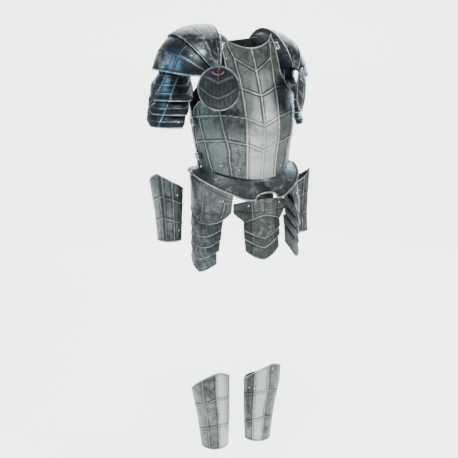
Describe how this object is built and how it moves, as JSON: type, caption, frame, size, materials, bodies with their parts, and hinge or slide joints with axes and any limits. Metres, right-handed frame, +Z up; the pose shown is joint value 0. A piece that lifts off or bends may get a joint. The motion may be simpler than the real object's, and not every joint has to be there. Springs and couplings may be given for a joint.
{
  "type": "suit of plate armour",
  "caption": "Worn suit of articulated steel plate armour, held in a standing pose: cuirass, fauld, tassets, pauldrons with arm lames and roundels, bracers and greaves on leather straps.",
  "frame": {"origin": "on the mid-plane between the shoulders, at the height of the shoulder straps, where the wearer's shoulders carry the suit", "axes": "+Z up along the wearer, the wearer faces -Y, +X toward the wearer's left"},
  "size_m": [0.5924, 0.3482, 1.4605],
  "materials": {
    "plate_steel": "worn steel, dark patina in the recesses, bright on ridges and edges",
    "dark_plate_steel": "darker blue-grey worn steel",
    "buckle_steel": "bright steel",
    "strap_leather": "black, low sheen",
    "thong_leather": "red-brown, low sheen"
  },
  "bodies": {
    "root": {"breastplate": "plate_steel", "backplate": "plate_steel", "shoulder_strap_right": "strap_leather", "shoulder_strap_left": "strap_leather", "shoulder_buckle_right": "buckle_steel", "shoulder_buckle_left": "buckle_steel", "side_strap_upper_right": "strap_leather", "side_strap_upper_left": "strap_leather", "side_strap_lower_right": "strap_leather", "side_strap_lower_left": "strap_leather", "fauld_front": "dark_plate_steel", "fauld_back": "dark_plate_steel", "pauldron_upper_right": "dark_plate_steel", "pauldron_upper_left": "dark_plate_steel", "pauldron_lower_right": "dark_plate_steel", "pauldron_lower_left": "dark_plate_steel", "arm_lame_1_right": "dark_plate_steel", "arm_lame_1_left": "dark_plate_steel", "arm_lame_2_right": "dark_plate_steel", "arm_lame_2_left": "dark_plate_steel", "arm_lame_3_right": "dark_plate_steel", "arm_lame_3_left": "dark_plate_steel", "arm_strap_right": "strap_leather", "arm_strap_left": "strap_leather", "roundel_right": "dark_plate_steel", "roundel_left": "dark_plate_steel", "roundel_thong_right": "thong_leather", "roundel_thong_left": "thong_leather", "bracer_right": "plate_steel", "bracer_left": "plate_steel", "bracer_strap_upper_right": "strap_leather", "bracer_strap_upper_left": "strap_leather", "bracer_strap_lower_right": "strap_leather", "bracer_strap_lower_left": "strap_leather", "side_tasset_1_right": "plate_steel", "side_tasset_1_left": "plate_steel", "side_tasset_2_right": "plate_steel", "side_tasset_2_left": "plate_steel", "side_tasset_3_right": "plate_steel", "side_tasset_3_left": "plate_steel", "side_tasset_4_right": "plate_steel", "side_tasset_4_left": "plate_steel", "side_tasset_5_right": "plate_steel", "side_tasset_5_left": "plate_steel", "centre_tasset_1": "plate_steel", "centre_tasset_2": "plate_steel", "centre_tasset_3": "plate_steel", "centre_tasset_4": "plate_steel", "side_hanger_right": "strap_leather", "side_hanger_left": "strap_leather", "centre_hanger": "strap_leather", "greave_right": "plate_steel", "greave_left": "plate_steel", "greave_strap_upper_right": "strap_leather", "greave_strap_upper_left": "strap_leather", "greave_strap_lower_right": "strap_leather", "greave_strap_lower_left": "strap_leather"}
  },
  "joints": []
}
